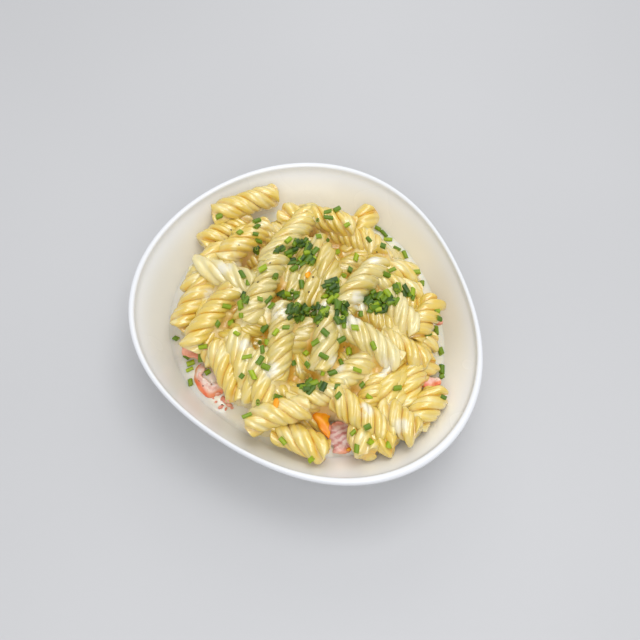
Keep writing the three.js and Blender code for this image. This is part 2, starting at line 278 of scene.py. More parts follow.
# Single chives: place in the view, and heading in degrees from +X towards +Y
CHIVE_BITS = [
    (219, 217, 30), (240, 233, 40), (243, 275, 120), (248, 283, 100), (288, 241, 50), (263, 269, 35),
    (275, 278, 80), (318, 220, STANDING), (319, 237, 0), (327, 241, 65), (328, 212, 10), (328, 218, 0),
    (337, 210, 45), (347, 225, 40), (378, 229, 150), (384, 234, 120), (388, 240, 170), (383, 247, 160),
    (397, 249, 140), (405, 255, 100), (369, 240, 125), (356, 258, 70), (336, 253, 30), (350, 270, 140),
    (343, 277, 30), (385, 275, 170), (392, 270, 20), (417, 272, 10), (422, 284, 90), (413, 298, 60),
    (398, 291, 60), (388, 294, 125), (395, 302, 40), (361, 314, 90), (355, 328, 0), (436, 311, 20),
    (438, 319, 0), (436, 331, 90), (428, 335, 20), (374, 346, 110), (325, 333, 130), (324, 357, 140),
    (341, 340, 30), (349, 352, 90), (341, 363, 100), (357, 370, 165), (332, 373, 25), (323, 372, 80),
    (441, 352, 100), (442, 370, 80), (442, 377, 20), (397, 388, 0), (369, 397, 125), (362, 385, 40),
    (443, 398, 160), (337, 387, 0), (338, 396, 50), (226, 307, 0), (232, 323, 10), (237, 334, 135),
    (217, 324, 60), (241, 306, 110), (241, 315, 90), (260, 299, 165), (268, 300, 40), (272, 306, 30),
    (187, 357, 150), (191, 364, 30), (201, 358, 90), (204, 347, 0), (176, 339, 150), (208, 373, 40),
    (191, 383, 100), (190, 370, 20), (242, 376, 60), (253, 375, 115), (247, 357, 10), (247, 416, 25),
    (258, 402, STANDING), (260, 342, STANDING), (265, 328, 40), (276, 333, 55), (268, 342, 60),
    (286, 328, 10), (294, 270, 45), (301, 285, 115), (316, 343, 20), (306, 354, 40), (293, 363, 120),
    (308, 365, 130), (277, 398, 0), (283, 441, 130), (312, 459, 30), (357, 449, 90), (353, 433, 50),
    (367, 427, 30), (369, 442, 150), (389, 445, 75), (262, 350, 100), (260, 361, 60), (266, 368, 150),
]

# Chive clusters: place in the view, half width and height, count, main heading
CHIVE_CLUSTERS = [
    (302, 254, 15, 13, 46, 40), (288, 295, 11, 4, 11, 5), (297, 313, 11, 9, 24, 60),
    (331, 291, 8, 12, 22, 20), (319, 313, 9, 9, 20, 60), (342, 313, 8, 12, 20, 100),
    (378, 302, 14, 11, 34, 30), (310, 387, 9, 7, 10, 20), (257, 237, 3, 17, 8, 30),
    (246, 297, 3, 5, 4, 60), (404, 290, 13, 6, 9, 120), (279, 252, 6, 5, 4, 30),
    (323, 388, 4, 4, 4, 70),
]

# Small bits: place in the view, length, width, heading in degrees
CARROT_BITS = [(276, 404, 5.5, 3.2, 85), (308, 275, 3.6, 2.8, 60), (349, 449, 3.4, 2.0, 20)]
HAM_BITS = [
    (440, 323, 4.6, 2.4, 10), (224, 400, 4.2, 2.6, 130), (229, 405, 3.6, 2.2, 160),
    (221, 407, 3.2, 2.0, 30), (218, 394, 3.4, 2.2, 80), (330, 428, 3.4, 2.0, 100),
    (206, 347, 4.0, 2.4, 20), (222, 399, 2.0, 1.4, 50), (228, 401, 1.8, 1.3, 110),
    (216, 402, 1.6, 1.1, 20), (226, 409, 2.0, 1.3, 70), (213, 398, 1.5, 1.0, 140),
    (232, 408, 1.7, 1.2, 10),
]
PEPPER_FLECKS = [
    (313, 277, 1.1, 0.8, 0), (309, 292, 1.2, 0.8, 50), (231, 230, 0.9, 0.7, 0),
    (270, 263, 1.0, 0.7, 40), (258, 282, 1.3, 0.7, 10), (377, 252, 1.0, 0.7, 80),
    (435, 311, 1.2, 0.7, 20), (318, 326, 1.2, 0.7, 50), (310, 241, 0.9, 0.6, 0),
    (239, 245, 0.8, 0.6, 0), (203, 386, 1.0, 0.7, 30), (199, 381, 0.8, 0.6, 0),
    (222, 405, 1.1, 0.8, 0), (338, 356, 0.9, 0.6, 20), (344, 347, 0.8, 0.5, 0),
]
CARROT_BIT_SEED = 60
HAM_BIT_SEED = 61
PEPPER_SEED = 62
BIT_SIDES = 10
BIT_RINGS = 7
BIT_UPWARD = 0.5
BIT_FLAT = 1.3
BIT_RIM = 0.55

# Spirals below the upper ones, on rings round the middle: radius, count, first angle
LOWER_RINGS = [(10, 4, 0.3), (30, 9, 0.9), (50, 14, 0.2)]
# Others fill gaps: ends and turn as in SPIRALS
LOWER_FILLERS = [
    (20, 3, -1.0, 47, -13, -1.2, 30), (23, -61, -1.6, 35, -35, -1.2, 40),
    (-16, -55, -4.0, 9, -55, -4.0, 70), (-42, 40, -3.4, -14, 27, -3.4, 10),
    (-3, 31, -0.8, 5, -1, -0.8, 50), (47, -40, -2.2, 61, -24, -2.6, 30),
]
# Stretches of the outer ring, in degrees, where none lies
LEFT_OUT = [(30, 45), (195, 240), (290, 300)]
LOWER_SEED = 1
OUTER_R = 45
LOWER_HALF = (15, 19)
LIE_SWAY = 0.9
LOWER_LEVEL = -2.0
LOWER_RANGE = 0.8
OUTER_LEVEL = -1.2
# How creamy they are, and how long drawn out
LOWER_LOOK = (0.3, 1.0)

# Floor and studio light: name, place, size and power of each lamp, in metres and watts
FLOOR_HALF = 2000
AIM = Vector((0, 0, 0.04))
LAMPS = [
    ("key", (0.12, 0.05, 0.80), 0.38, 1.9),
    ("fill", (0.0, -0.42, 0.68), 0.45, 1.65),
    ("back", (0.05, 0.55, 0.50), 0.5, 0.85),
]
WORLD_LIGHT = 0.60
SENSOR_WIDTH = 36


def plan_factor(turn):
    """How far the rim lies out at an angle, against a circle."""
    turn = turn - LONG_END
    return 1 + OVAL * np.cos(2 * turn) + EGG * np.cos(3 * turn)


def plan_share(radius):
    """How much of the oval plan a radius takes, from none at the foot to all at the rim."""
    return np.clip((radius - FOOT_R) / (RIM_R - FOOT_R), 0, PLAN_MOST)


def oval_radius(radius, turn):
    """A circle's radius, drawn out to the bowl's oval plan from the foot to the rim."""
    return radius * (1 + (plan_factor(turn) - 1) * plan_share(radius))


def bezier(points, count):
    t = np.linspace(0, 1, count)[:, None]
    a, b, c, d = (np.array(p, float) for p in points)
    return (1 - t) ** 3 * a + 3 * (1 - t) ** 2 * t * b + 3 * (1 - t) * t * t * c + t ** 3 * d


def add_mesh(name, verts, faces, material, attributes=None, sharp=None):
    """A mesh object from points in millimetres, smooth shaded."""
    mesh = bpy.data.meshes.new(name)
    mesh.from_pydata((np.asarray(verts, float) * MM).tolist(), [], faces)
    mesh.update()
    piece = bpy.data.objects.new(name, mesh)
    bpy.context.collection.objects.link(piece)
    mesh.polygons.foreach_set("use_smooth", [True] * len(mesh.polygons))
    if sharp:
        mesh.set_sharp_from_angle(angle=math.radians(sharp))
    for key, values in (attributes or {}).items():
        layer = mesh.attributes.new(key, "FLOAT", "POINT")
        layer.data.foreach_set("value", np.asarray(values, np.float32))
    mesh.materials.append(material)
    return piece


def ring_faces(rings, sides, first=0):
    """Four-sided faces between rings of points."""
    i = np.arange(rings - 1)[:, None] * sides
    k = np.arange(sides)[None, :]
    k2 = (k + 1) % sides
    quads = np.stack([i + k, i + k2, i + sides + k2, i + sides + k], axis=-1)
    return (quads.reshape(-1, 4) + first).tolist()


def end_fans(rings, sides):
    """Faces that close the first and last ring, with the two points after all rings."""
    total = rings * sides
    last = total - sides
    faces = []
    for k in range(sides):
        k2 = (k + 1) % sides
        faces.append((total, k2, k))
        faces.append((total + 1, last + k, last + k2))
    return faces


def oval_lathe(name, profile, sides, material):
    """A profile of radius and height, turned round the bowl's oval plan."""
    profile = np.array(profile, float)
    turns = np.arange(sides) * 2 * math.pi / sides
    radii = oval_radius(profile[:, :1], turns[None, :])
    z = np.repeat(profile[:, 1:], sides, axis=1)
    verts = np.stack([radii * np.cos(turns), radii * np.sin(turns), z], axis=-1).reshape(-1, 3)
    verts = np.vstack([verts, [0, 0, profile[0, 1]], [0, 0, profile[-1, 1]]])
    faces = ring_faces(len(profile), sides) + end_fans(len(profile), sides)
    return add_mesh(name, verts, faces, material)


# Materials

def srgb(red, green, blue):
    """A colour of 0 to 255 as the light values that a shader takes."""
    shares = (red / 255, green / 255, blue / 255)
    return tuple(v / 12.92 if v <= 0.04045 else ((v + 0.055) / 1.055) ** 2.4 for v in shares) + (1,)


class Shader:
    """Builds one node material. Places and distances in it are in metres."""

    def __init__(self, name):
        self.material = bpy.data.materials.new(name)
        self.material.use_nodes = True
        self.tree = self.material.node_tree
        self.surface = self.tree.nodes["Principled BSDF"]

    def node(self, kind, inputs=None, **settings):
        node = self.tree.nodes.new(kind)
        for key, value in settings.items():
            setattr(node, key, value)
        for key, value in (inputs or {}).items():
            self.put(node, key, value)
        return node

    def put(self, node, key, value):
        if isinstance(value, bpy.types.NodeSocket):
            self.tree.links.new(value, node.inputs[key])
        else:
            node.inputs[key].default_value = value

    def set(self, **values):
        for key, value in values.items():
            self.put(self.surface, key.replace("_", " "), value)

    def attribute(self, name):
        return self.node("ShaderNodeAttribute", attribute_name=name).outputs["Fac"]

    def place(self):
        return self.node("ShaderNodeTexCoord").outputs["Object"]

    def along(self, axis):
        return self.node("ShaderNodeSeparateXYZ", {"Vector": self.place()}).outputs[axis]

    def left_shade(self):
        """From 0 at the bowl's front left side to 1 past its middle, for the painted shade that greys the
        front left.
        """
        place = self.math("ADD", self.times(self.along("X"), 0.9), self.times(self.along("Y"), 0.35))
        return self.ramp(place, -0.068, -0.018)

    def noise(self, scale, detail=3.0, rough=0.5, distortion=0.0):
        made = self.node("ShaderNodeTexNoise", {"Vector": self.place(), "Scale": scale, "Detail": detail,
                                                "Roughness": rough, "Distortion": distortion})
        return made.outputs["Fac"]

    def ramp(self, value, low, high, low_out=0.0, high_out=1.0):
        made = self.node("ShaderNodeMapRange", {"Value": value, "From Min": low, "From Max": high,
                                                "To Min": low_out, "To Max": high_out})
        made.interpolation_type = "SMOOTHSTEP"
        return made.outputs["Result"]

    def glow(self, weight, radius, scale):
        self.set(Subsurface_Weight=weight, Subsurface_Radius=radius, Subsurface_Scale=scale)

    def coat(self, weight, rough, index=1.5):
        self.set(Coat_Weight=weight, Coat_Roughness=rough, Coat_IOR=index)

    def times(self, a, b):
        return self.math("MULTIPLY", a, b)

    def math(self, operation, a, b=0.0, clamp=False):
        made = self.node("ShaderNodeMath", {0: a, 1: b}, operation=operation)
        made.use_clamp = clamp
        return made.outputs[0]

    def mix(self, share, a, b):
        """Between two colours, each made by nodes or given as 0 to 255."""
        made = self.node("ShaderNodeMix", data_type="RGBA")
        for key, value in ((0, share), (6, a), (7, b)):
            self.put(made, key, srgb(*value) if isinstance(value, tuple) else value)
        return made.outputs[2]

    def bump(self, height, strength, distance):
        made = self.node("ShaderNodeBump", {"Strength": strength, "Distance": distance, "Height": height})
        self.put(self.surface, "Normal", made.outputs["Normal"])


def porcelain_look():
    """White glaze with painted light: cool on the lip, warmer on the wall's back as painted bounce from the
    food, brighter on its front against the heap's shade, and greyer on its front left as painted shade.
    """
    s = Shader("porcelain_glaze")
    # Painted light: near is brightened on the front wall against the heap's shade, far is warmed as painted
    # bounce from the food, and left is painted shade. The lip keeps a cool white.
    near, far = (252, 252, 250), (229, 224, 211)
    left, lip = (217, 216, 210), (229, 232, 238)
    wall = s.mix(s.ramp(s.along("Y"), -0.075, 0.0), near, far)
    # Painted shade: the wall is greyer towards the bowl's front left.
    wall = s.mix(s.left_shade(), left, wall)
    # Painted bounce light: the wall below the lip is warmer than the lip.
    glaze = s.mix(s.ramp(s.along("Z"), 0.038, 0.050), wall, lip)
    cloud = s.noise(22, 2)
    clouded = (242, 240, 234)
    s.set(Base_Color=s.mix(s.times(cloud, 0.15), glaze, clouded))
    s.set(Roughness=s.ramp(cloud, 0.3, 0.7, 0.20, 0.28))
    s.coat(0.2, 0.16)
    speck = s.ramp(s.noise(900, 2), 0.72, 0.8)
    s.bump(s.math("ADD", s.noise(45, 2), speck), 0.05, 0.0004)
    return s.material


def pasta_look():
    """Moist yellow dough with painted shade, deeper orange in its creases and darker towards the heap's
    top, with cream on it that is paler in the folds, partly as a painted highlight.
    """
    s = Shader("pasta_dough")
    tone = s.attribute("tone")
    groove = s.attribute("groove")
    back = s.mix(tone, (232, 205, 98), (227, 196, 80))
    # Painted shade: the creases are a darker, deeper orange.
    crease = s.mix(tone, (230, 182, 48), (225, 172, 38))
    dough = s.mix(s.ramp(groove, 0.25, 0.9), back, crease)
    # Cream gathers in the grooves and folds; its paleness in the folds is partly a painted highlight.
    lying = s.times(s.noise(95, 2, 0.5, 0.6), 1.1)
    for layer, share in (("cream", 0.6), ("groove", 0.25), ("hollow", 0.22)):
        lying = s.math("ADD", lying, s.times(s.attribute(layer), share))
    creamy = s.mix(s.ramp(lying, 0.72, 1.25, 0.0, 0.8), dough, (237, 227, 174))
    # Painted shade: darker towards the heap's top.
    shaded = s.mix(s.attribute("crown"), creamy, (174, 158, 66))
    spot = s.times(s.attribute("spot"), s.ramp(s.noise(170, 3, 0.5, 0.5), 0.2, 0.5))
    thick_cream = (240, 235, 214)
    s.set(Base_Color=s.mix(s.ramp(spot, 0.15, 0.75, 0.0, 0.85), shaded, thick_cream))
    s.set(Roughness=s.ramp(s.noise(240, 2), 0.3, 0.7, 0.28, 0.38))
    s.glow(0.35, (1.0, 0.95, 0.4), 0.0013)
    s.coat(1.0, 0.2, 1.8)
    s.bump(s.noise(130, 2), 0.08, 0.0004)
    return s.material


def pool_look():
    """Cream, pinkish by the ham, and like the glaze where it thins out, greyer there on the front left as
    painted shade.
    """
    s = Shader("cream_sauce")
    swirl = s.ramp(s.noise(75, 3, 0.5, 0.8), 0.35, 0.65)
    cream = s.mix(swirl, (240, 233, 208), (243, 238, 220))
    bits = s.ramp(s.noise(230, 4, 0.6, 1.0), 0.56, 0.66)
    rosy = s.mix(bits, (243, 226, 213), (228, 164, 144))
    cream = s.mix(s.ramp(s.attribute("pink"), 0.3, 0.9), cream, rosy)
    # Painted shade: the thin edge is greyer on the bowl's front left.
    edge = s.mix(s.left_shade(), (211, 208, 200), (243, 239, 224))
    s.set(Base_Color=s.mix(s.ramp(s.attribute("at_wall"), 0.1, 0.75), cream, edge))
    s.set(Roughness=s.ramp(s.noise(160, 2), 0.3, 0.7, 0.18, 0.30))
    s.glow(0.3, (1.0, 0.7, 0.4), 0.002)
    s.coat(0.5, 0.1)
    s.bump(s.noise(170, 3), 0.15, 0.0005)
    return s.material


def between_look():
    """Yellow near the crests, amber where it is deep as painted shade in the gaps, and paler in the middle.
    """
    s = Shader("sauce_between")
    cream = s.attribute("cream")
    patchy = s.ramp(s.noise(90, 3), 0.35, 0.65)
    # Painted shade: deep gaps turn a dark amber.
    deep = s.mix(patchy, (208, 156, 48), (220, 178, 82))
    deep = s.mix(s.ramp(cream, 0.3, 0.65), (232, 216, 168), deep)
    paleness = s.math("MULTIPLY", cream, s.math("ADD", patchy, 0.5), clamp=True)
    near = s.mix(paleness, (232, 207, 118), (238, 226, 174))
    s.set(Base_Color=s.mix(s.ramp(s.attribute("depth"), 2.5, 8.0), near, deep))
    s.set(Roughness=s.ramp(s.noise(160, 2), 0.3, 0.7, 0.22, 0.36))
    s.glow(0.2, (1.0, 0.95, 0.5), 0.0015)
    s.coat(0.6, 0.12)
    s.bump(s.noise(240, 3), 0.2, 0.0005)
    return s.material


def ham_look():
    """Pale mottled meat with a red rim or wavy stripes."""
    s = Shader("ham_meat")
    wander = s.times(s.noise(140, 3), 14.0)
    wave = s.math("SINE", s.math("ADD", s.times(s.attribute("run"), 2.2), wander))
    blotch = s.noise(210, 4, 0.6, 1.0)
    fibre = s.ramp(s.math("ADD", s.times(wave, 0.12), blotch), 0.36, 0.66)
    striped = s.mix(fibre, (206, 136, 130), (234, 206, 198))
    pale = s.mix(s.ramp(blotch, 0.42, 0.62), (232, 182, 166), (244, 224, 212))
    red = s.mix(s.ramp(s.noise(150, 3), 0.4, 0.62), (234, 110, 66), (242, 154, 108))
    meat = s.mix(s.ramp(s.attribute("rim"), 0.25, 0.75), pale, red)
    s.set(Base_Color=s.mix(s.attribute("stripes"), meat, striped))
    s.set(Roughness=0.34)
    s.glow(0.2, (1.0, 0.5, 0.4), 0.0015)
    s.coat(0.4, 0.18)
    s.bump(s.noise(420, 4), 0.3, 0.0005)
    return s.material


def carrot_look():
    s = Shader("carrot_flesh")
    streak = s.ramp(s.noise(200, 3, 0.6, 0.8), 0.35, 0.65)
    flesh = s.mix(streak, (255, 158, 6), (255, 188, 24))
    s.set(Base_Color=s.mix(s.times(s.attribute("rim"), 0.4), flesh, (246, 134, 6)))
    s.set(Roughness=0.45)
    s.coat(0.15, 0.12)
    s.bump(s.noise(420, 3), 0.25, 0.0005)
    return s.material


def fleck_look():
    s = Shader("pepper_fleck")
    s.set(Base_Color=s.mix(s.ramp(s.noise(900, 2), 0.4, 0.6), (52, 42, 30), (96, 74, 48)))
    s.set(Roughness=0.6)
    return s.material


def chive_look():
    s = Shader("chive_green")
    tone = s.attribute("tone")
    inside = s.attribute("inside")
    streak = s.ramp(s.noise(600, 2, 0.5, 0.3), 0.35, 0.65)
    skin = s.mix(s.ramp(tone, 0.0, 0.5), (40, 72, 14), (92, 126, 6))
    skin = s.mix(s.ramp(tone, 0.5, 1.0), skin, (160, 182, 10))
    skin = s.mix(s.times(streak, 0.3), skin, (98, 132, 12))
    s.set(Base_Color=s.mix(inside, skin, (166, 184, 60)))
    s.set(Roughness=0.5)
    s.coat(0.1, 0.2)
    s.bump(s.noise(1500, 2), 0.2, 0.0002)
    return s.material


def floor_look():
    s = Shader("pale_floor")
    s.set(Base_Color=s.mix(s.ramp(s.noise(3, 2), 0.3, 0.7), (196, 197, 200), (200, 201, 204)))
    s.set(Roughness=0.7)
    return s.material


# Shapes

def make_bowl():
    """The bowl as one profile: foot, outer wall, rounded lip, inner wall and floor."""
    half = LIP_THICK / 2
    turns = np.linspace(0, math.pi, LIP_STEPS)[1:-1]
    lip = [(RIM_R - half + half * math.cos(a), BOWL_H - half + half * math.sin(a)) for a in turns]
    profile = FOOT_PROFILE + list(bezier(OUTER_WALL, OUTER_STEPS))
    profile += [(RIM_R, LIP_FOOT_Z)] + lip + [(RIM_R - LIP_THICK, LIP_FOOT_Z)]
    profile += list(bezier(INNER_WALL, INNER_STEPS)) + INSIDE_FLOOR
    piece = oval_lathe("bowl_glazed", profile, BOWL_SIDES, porcelain_look())
    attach(piece, "root")
    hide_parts("bowl")


def axis_height(x, y, level):
    """Height of a spiral's middle line, on the heap's dome or leaning on the wall."""
    radius = math.hypot(x, y)
    rim = RIM_R * plan_factor(math.atan2(y, x))
    share = min(1, radius / (rim - HEAP_INSET))
    dome = AXIS_EDGE_Z + (AXIS_CROWN_Z - AXIS_EDGE_Z) * (1 - share ** DOME_POWER)
    wall = BOWL_H - (rim - LIP_THICK - WALL_INSET - radius) + WALL_REST
    return max(dome + LEVEL_STEP * level, wall)


def blade_angles():
    """Angles round a spiral, and how far each is from its blade's middle in degrees."""
    p = np.array(BLADE_ANGLES)
    turns = [p + 2 * HALF_BLADE * blade for blade in range(BLADES)]
    return np.radians(np.concatenate(turns)), np.tile(p, BLADES)[None, :]


def unit(ways):
    return ways / np.linalg.norm(ways, axis=-1)[..., None]


def spread(ways, amounts):
    """Steps along each ring's way, by an amount for each of its points."""
    return ways[:, None, :] * amounts[:, :, None]


def per_blade(values):
    """A value for each blade, repeated for all its angles."""
    return np.repeat(values, len(BLADE_ANGLES))[None, :]


def waver(distance, amount, phase):
    """A slow swing along a spiral."""
    reach, length = amount
    return (reach * np.sin(distance / length + phase))[:, None]


def middle_line(row, steps):
    """A spiral's bent middle line, distances on it, and the ways along, beside and up."""
    x0, y0, level0, x1, y1, level1 = row[:6]
    a = np.array([x0, y0, axis_height(x0, y0, level0)])
    b = np.array([x1, y1, axis_height(x1, y1, level1)])
    length = float(np.linalg.norm(b - a))
    middle = (a + b) / 2
    middle[2] += 2 * SPIRAL_SAG * length
    inner = np.linspace(END_LENGTH, length - END_LENGTH, steps)
    distance = np.concatenate([END_RINGS, inner, length - END_RINGS[::-1]])
    t = (distance / length)[:, None]
    line = (1 - t) ** 2 * a + 2 * (1 - t) * t * middle + t * t * b
    along = unit(2 * (1 - t) * (middle - a) + 2 * t * (b - middle))
    side = unit(np.cross([0, 0, 1.0], along))
    return line, distance, along, side, np.cross(along, side)


def lobe_height(p, flare, lean):
    """How far a place stands out on a blade, from 0 in its crease to 1, and how deep in a fold it is."""
    share = np.clip(np.abs(p) / (HALF_BLADE - FLARE_NARROWS * flare), 0, 1)
    back = (1 - share ** (BACK_POWER - FLARE_SHARPENS * flare)) ** BACK_ROOT
    return back, np.exp(-((p - FOLD_SHIFT * lean) / FOLD_WIDTH) ** 2)


def end_points(rim, middle, inward):
    """The hollow in a spiral's end: a ring half way in, and its centre."""
    centre = middle + inward * HOLLOW_DEPTH
    ring = centre + (rim - middle) * HOLLOW_RING - inward * HOLLOW_RISE
    return np.vstack([ring, centre[None]])


def end_faces(sides, edge, first, at_start):
    """Faces from the outer ring to the points of the hollow."""
    faces = []
    for k in range(sides):
        a, b = k, (k + 1) % sides
        if at_start:
            a, b = b, a
        faces.append((edge + a, edge + b, first + b, first + a))
        faces.append((first + a, first + b, first + sides))
    return faces


def spiral(row, rng, steps):
    """One spiral: its points, faces, and how deep in a crease or a fold each point is."""
    turn, drawn = row[6], row[8]
    line, distance, along, side, up = middle_line(row, steps)
    from_end = distance[-1] - distance
    wave = rng.uniform(0, WAVE_PHASE, 4)
    line = line + side * waver(distance, SIDE_WAVER, wave[0])
    line = line + up * waver(distance, UP_WAVER, wave[1])
    angles, p = blade_angles()
    size = rng.uniform(*SIZE_RANGE)
    lean = rng.choice([-1, 1])
    pitch = SPIRAL_PITCH * drawn * rng.uniform(*PITCH_RANGE)
    end = np.minimum(distance, from_end)[:, None]
    flare = np.exp(-(end / FLARE_LENGTH) ** 2)
    crease = CREASE_R * (1 - FLARE_CREASE * flare + waver(distance, CREASE_WAVER, wave[2]))
    blade_size = per_blade(rng.uniform(*BLADE_RANGE, BLADES))
    crest = SPIRAL_R * size * blade_size * (1 + FLARE_CREST * flare)
    crest = crest - LOBE_TILT * (0.5 + 0.5 * lean * p / HALF_BLADE)
    back, fold = lobe_height(p, flare, lean)
    r = crease + (crest - crease) * back - FOLD_DEPTH * drawn * fold * (1 - FLARE_FOLD * flare)
    rounding = np.clip(end / END_ROUNDING, 0, 1)
    r = r * (1 - END_NARROWS + END_NARROWS * np.sqrt(1 - (1 - rounding) ** 2))
    twist = (math.radians(turn) + 2 * math.pi * distance / pitch)[:, None]
    angle = angles[None, :] + (twist + waver(distance, TWIST_WAVER, wave[3]))
    points = line[:, None, :] + spread(side, r * np.cos(angle)) + spread(up, r * np.sin(angle))
    for sign, away in ((-1, distance), (1, from_end)):
        reach = per_blade(rng.uniform(*RAGGED_RANGE, BLADES))
        near = np.exp(-(away / RAGGED_LENGTH) ** 2)[:, None]
        points = points + spread(along, sign * reach * near * back)
    lumps = np.array([noise(Vector(q) * LUMP_RATE) for q in points.reshape(-1, 3)]).reshape(r.shape)
    points = points + unit(points - line[:, None, :]) * (LUMP_HEIGHT * lumps)[:, :, None]
    sides = len(angles)
    verts = points.reshape(-1, 3)
    groove = np.clip(1 - back, 0, 1)
    hollow = np.broadcast_to(fold, groove.shape).reshape(-1)
    groove = groove.reshape(-1)
    faces = ring_faces(len(line), sides)
    for ring, inward in ((0, 1), (len(line) - 1, -1)):
        faces += end_faces(sides, ring * sides, len(verts), ring == 0)
        verts = np.vstack([verts, end_points(points[ring], line[ring], along[ring] * inward)])
        groove = np.concatenate([groove, np.repeat(HOLLOW_GROOVES, (sides, 1))])
        hollow = np.concatenate([hollow, np.zeros(sides + 1)])
    return verts, faces, groove, hollow


def lower_rows():
    """Rows of the spirals that show only between the upper ones."""
    rng = random.Random(LOWER_SEED)
    rows = [row + LOWER_LOOK for row in LOWER_FILLERS]
    for ring, count, start in LOWER_RINGS:
        outer = ring > OUTER_R
        for k in range(count):
            turn = start + 2 * math.pi * k / count
            out = ring * float(plan_factor(turn))
            x, y = out * math.cos(turn), out * math.sin(turn)
            lie = rng.uniform(0, math.pi)
            if outer:
                lie = turn + math.pi / 2 + rng.uniform(-LIE_SWAY, LIE_SWAY)
            half = rng.uniform(*LOWER_HALF)
            level = OUTER_LEVEL if outer else LOWER_LEVEL - rng.uniform(0, LOWER_RANGE)
            start_turn = rng.uniform(0, 2 * HALF_BLADE)
            degrees = math.degrees(turn) % 360
            if outer and any(low < degrees < high for low, high in LEFT_OUT):
                continue
            dx, dy = half * math.cos(lie), half * math.sin(lie)
            rows.append((x - dx, y - dy, level, x + dx, y + dy, level, start_turn) + LOWER_LOOK)
    return rows


def join_spirals(name, rows, seed, steps, material):
    """Many spirals as one mesh, with what their material needs at each point."""
    rng = np.random.default_rng(seed)
    verts, faces, first = [], [], 0
    grooves, hollows, tones, creams = [], [], [], []
    for row in rows:
        v, f, groove, hollow = spiral(row, rng, steps)
        verts.append(v)
        faces += [tuple(i + first for i in face) for face in f]
        first += len(v)
        grooves.append(groove)
        hollows.append(hollow)
        tones += [rng.uniform(0, 1)] * len(v)
        creams += [row[7]] * len(v)
    verts = np.vstack(verts)
    x, y = verts[:, 0], verts[:, 1]
    near = [np.exp(-((x - a) ** 2 + (y - b) ** 2) / reach ** 2) for a, b, reach in CREAM_SPOTS]
    layers = {
        "groove": np.concatenate(grooves),
        "hollow": np.concatenate(hollows),
        "tone": tones,
        "cream": creams,
        # Painted shade, strongest at the heap's top.
        "crown": CROWN_SHADE * np.clip(1 - (x ** 2 + y ** 2) / CROWN_REACH ** 2, 0, 1),
        "spot": np.max(near, axis=0),
    }
    return add_mesh(name, verts, faces, material, layers, sharp=SHARP_EDGE)


def make_pasta():
    look = pasta_look()
    upper = join_spirals("pasta_spirals", SPIRALS, UPPER_SEED, UPPER_STEPS, look)
    lower = join_spirals("pasta_lower", lower_rows(), LOWER_SHAPE_SEED, LOWER_STEPS, look)
    for piece in (upper, lower):
        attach(piece, "root")
    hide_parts("pasta_heap")
    return upper, lower


def level_radius(x, y):
    """The radius that the oval plan draws out to a place."""
    turn = np.arctan2(y, x)
    out = np.hypot(x, y)
    radius = out
    for _ in range(5):
        radius = out / (1 + (plan_factor(turn) - 1) * plan_share(radius))
    return radius


def fade(value, span):
    """From 0 where a value starts its span to 1 at its end."""
    start, reach = span
    return np.clip((value - start) / reach, 0, 1)


def wall_height(radius):
    wall = bezier(INNER_WALL, 80)[::-1]
    return np.interp(radius, wall[:, 0], wall[:, 1], left=6.0, right=BOWL_H)


def tree_of(*pieces):
    """A search tree of the faces of some pieces, in metres."""
    verts, faces, first = [], [], 0
    for piece in pieces:
        verts += [v.co for v in piece.data.vertices]
        faces += [[i + first for i in face.vertices] for face in piece.data.polygons]
        first = len(verts)
    return BVHTree.FromPolygons(verts, faces)


def heights_of(tree, line, empty):
    """Heights of the topmost surface over a square grid."""
    found = np.full((len(line), len(line)), empty)
    down = Vector((0, 0, -1))
    for i, x in enumerate(line):
        for j, y in enumerate(line):
            hit = tree.ray_cast(Vector((x * MM, y * MM, PROBE_Z)), down)[0]
            if hit is not None:
                found[i, j] = hit.z / MM
    return found


def roll(heights, ball, above):
    """Heights that a ball's centre takes as it rolls above or below a surface."""
    reach = int(ball / GRID)
    result = heights.copy()
    for i in range(-reach, reach + 1):
        for j in range(-reach, reach + 1):
            left = ball ** 2 - (i * i + j * j) * GRID ** 2
            if left < 0:
                continue
            moved = np.roll(np.roll(heights, i, 0), j, 1)
            lift = math.sqrt(left)
            result = np.maximum(result, moved + lift) if above else np.minimum(result, moved - lift)
    return result


def run_down(heights, steps, fall):
    """Heights with slopes added, so that nothing falls faster than this."""
    wide, deep = heights.shape
    for _ in range(steps):
        padded = np.pad(heights, 1, mode="edge")
        moved = [padded[1 + i:1 + i + wide, 1 + j:1 + j + deep] - far * fall for i, j, far in NEIGHBOURS]
        heights = np.max(moved, axis=0)
    return heights


def shell_between(name, grid, top, bottom, kept, material, layers):
    """A closed solid between two height grids, where cells are kept."""
    beside = np.pad(kept, 1)
    corner = beside[1:, 1:] | beside[:-1, 1:] | beside[1:, :-1] | beside[:-1, :-1]
    number = np.cumsum(corner).reshape(corner.shape) - 1
    count = int(corner.sum())
    levels = [np.stack([values[corner] for values in (*grid, level)], axis=1) for level in (top, bottom)]
    faces = []
    for i, j in zip(*np.nonzero(kept)):
        a, b = int(number[i, j]), int(number[i + 1, j])
        c, d = int(number[i + 1, j + 1]), int(number[i, j + 1])
        faces.append((a, b, c, d))
        faces.append((d + count, c + count, b + count, a + count))
        for di, dj, p, q in ((0, -1, b, a), (1, 0, c, b), (0, 1, d, c), (-1, 0, a, d)):
            if not beside[i + 1 + di, j + 1 + dj]:
                faces.append((p, q, q + count, p + count))
    layers = {key: np.tile(layer[corner], 2) for key, layer in layers.items()}
    return add_mesh(name, np.vstack(levels), faces, material, layers)


